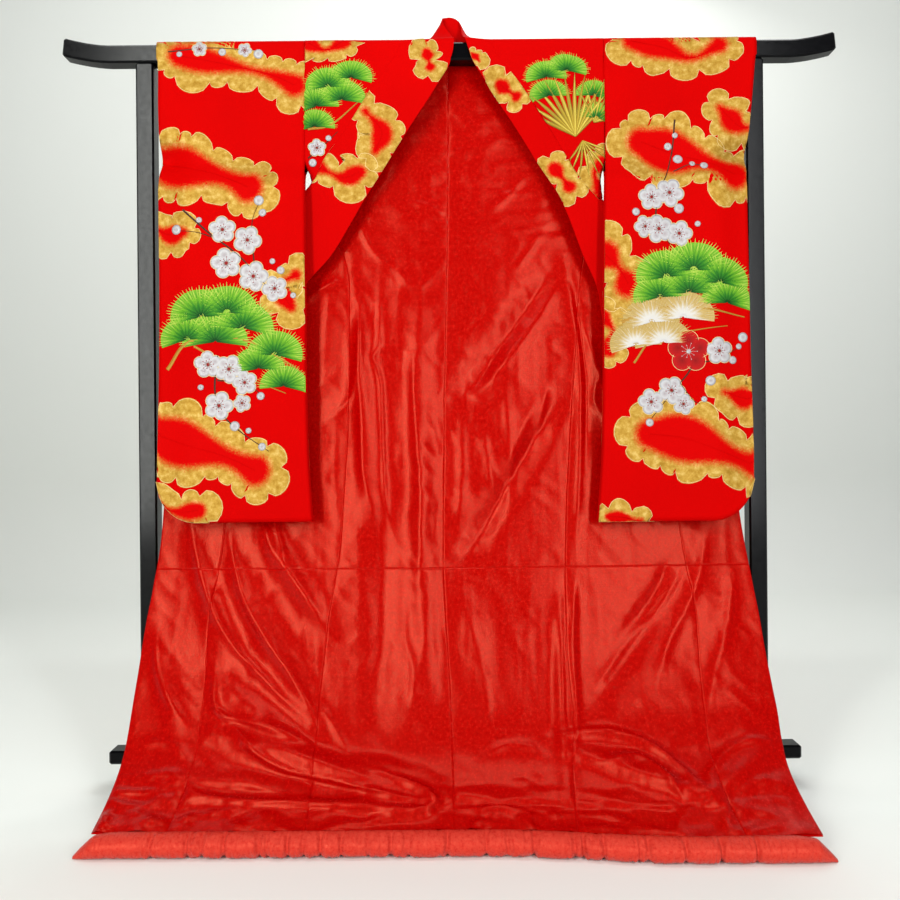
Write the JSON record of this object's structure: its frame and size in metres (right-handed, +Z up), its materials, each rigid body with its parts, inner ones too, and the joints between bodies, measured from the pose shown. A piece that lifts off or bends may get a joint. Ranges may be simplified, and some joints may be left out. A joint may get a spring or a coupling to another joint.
{
  "type": "uchikake wedding kimono on a kimono stand",
  "caption": "Long-sleeved padded-hem wedding over-kimono hung open on a low black lacquered stand, its lining facing forward and its hem roll on the floor.",
  "frame": {"origin": "centre of the bounding box's base, on the floor, between the hem in front and the stand's feet behind", "axes": "+Z up, +X along the stand's bar to the right as seen from the lining side, +Y from the hem towards the stand's feet"},
  "size_m": [1.7362, 0.6058, 1.7464],
  "materials": {
    "outer_cloth": "matte crepe with gold leaf and embroidery",
    "lining_satin": "crumpled satin",
    "hem_roll_satin": "padded satin",
    "black_lacquer": "gloss black lacquer"
  },
  "bodies": {
    "root": {"back_left": "outer_cloth", "back_right": "outer_cloth", "collar_left": "outer_cloth", "collar_neck": "outer_cloth", "collar_right": "outer_cloth", "front_left": "outer_cloth", "front_right": "outer_cloth", "hem_roll": "hem_roll_satin", "lining_back_lower_left": "lining_satin", "lining_back_lower_right": "lining_satin", "lining_back_upper_left": "lining_satin", "lining_back_upper_right": "lining_satin", "lining_front_lower_left": "lining_satin", "lining_front_lower_right": "lining_satin", "lining_front_upper_left": "lining_satin", "lining_front_upper_right": "lining_satin", "lining_okumi_lower_left": "lining_satin", "lining_okumi_lower_right": "lining_satin", "lining_okumi_upper_left": "lining_satin", "lining_okumi_upper_right": "lining_satin", "okumi_left": "outer_cloth", "okumi_right": "outer_cloth", "sleeve_left": "outer_cloth", "sleeve_right": "outer_cloth", "stand_cross_beam": "black_lacquer", "stand_foot_left": "black_lacquer", "stand_foot_right": "black_lacquer", "stand_top_bar": "black_lacquer", "stand_upright_left": "black_lacquer", "stand_upright_right": "black_lacquer"}
  },
  "joints": []
}
